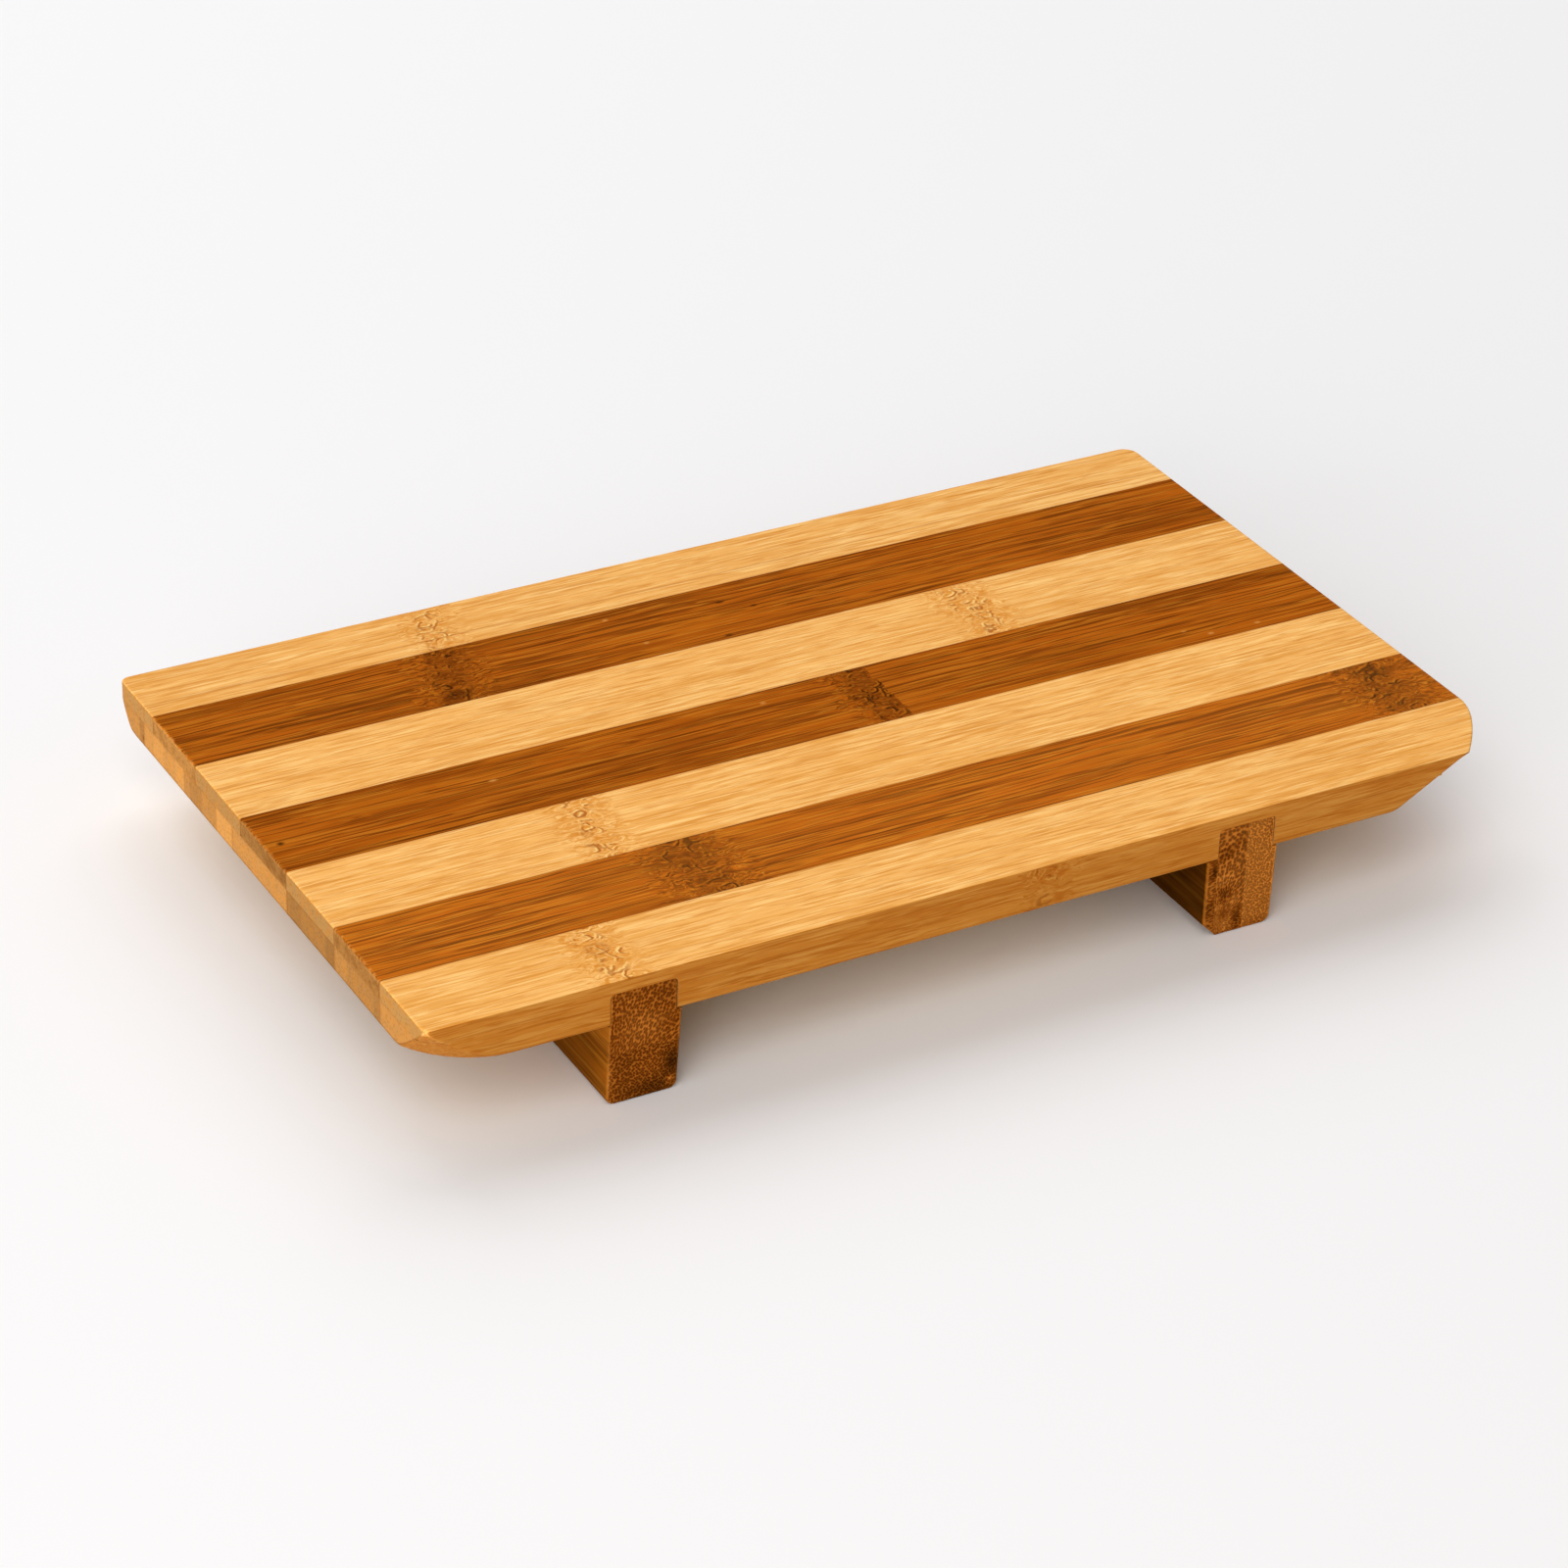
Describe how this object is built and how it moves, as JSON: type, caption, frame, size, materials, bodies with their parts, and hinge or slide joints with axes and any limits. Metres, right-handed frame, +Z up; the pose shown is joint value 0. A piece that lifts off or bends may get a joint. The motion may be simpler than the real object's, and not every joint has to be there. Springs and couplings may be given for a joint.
{
  "type": "sushi geta board",
  "caption": "Low rectangular bamboo serving board with light and dark stripes along its length, glued up from slats and raised on dark cross feet housed into its underside.",
  "frame": {"origin": "on the supporting surface, under the middle of the board's length and width", "axes": "+X along the slats towards the end with the clipped corner, +Y towards the back edge, +Z up through the serving face"},
  "size_m": [0.27, 0.1636, 0.0305],
  "materials": {
    "natural_bamboo": "natural bamboo, fine sanded and oiled, satin",
    "carbonised_bamboo": "carbonised bamboo, fine sanded and oiled, satin",
    "natural_bamboo_lower": "natural bamboo, sanded and oiled, satin",
    "foot_bamboo": "carbonised bamboo, sanded and oiled, satin, end grain at the board's long edges"
  },
  "bodies": {
    "root": {"upper_slat_1a_natural": "natural_bamboo", "upper_slat_1b_natural": "natural_bamboo", "upper_slat_2_carbonised": "carbonised_bamboo", "upper_slat_3_natural": "natural_bamboo", "upper_slat_4_carbonised": "carbonised_bamboo", "upper_slat_5_natural": "natural_bamboo", "upper_slat_6_carbonised": "carbonised_bamboo", "upper_slat_7_natural": "natural_bamboo", "lower_slat_1_left": "natural_bamboo_lower", "lower_slat_1_middle": "natural_bamboo_lower", "lower_slat_1_right": "natural_bamboo_lower", "lower_slat_2_left": "natural_bamboo_lower", "lower_slat_2_middle": "natural_bamboo_lower", "lower_slat_2_right": "natural_bamboo_lower", "lower_slat_3_left": "natural_bamboo_lower", "lower_slat_3_middle": "natural_bamboo_lower", "lower_slat_3_right": "natural_bamboo_lower", "lower_slat_4_left": "natural_bamboo_lower", "lower_slat_4_middle": "natural_bamboo_lower", "lower_slat_4_right": "natural_bamboo_lower", "lower_slat_5_left": "natural_bamboo_lower", "lower_slat_5_middle": "natural_bamboo_lower", "lower_slat_5_right": "natural_bamboo_lower", "lower_slat_6_left": "natural_bamboo_lower", "lower_slat_6_middle": "natural_bamboo_lower", "lower_slat_6_right": "natural_bamboo_lower", "lower_slat_7_left": "natural_bamboo_lower", "lower_slat_7_middle": "natural_bamboo_lower", "lower_slat_7_right": "natural_bamboo_lower", "left_foot_upper_layer": "foot_bamboo", "left_foot_sole_layer": "foot_bamboo", "right_foot_inner_strip": "foot_bamboo", "right_foot_middle_strip": "foot_bamboo", "right_foot_outer_strip": "foot_bamboo"}
  },
  "joints": []
}
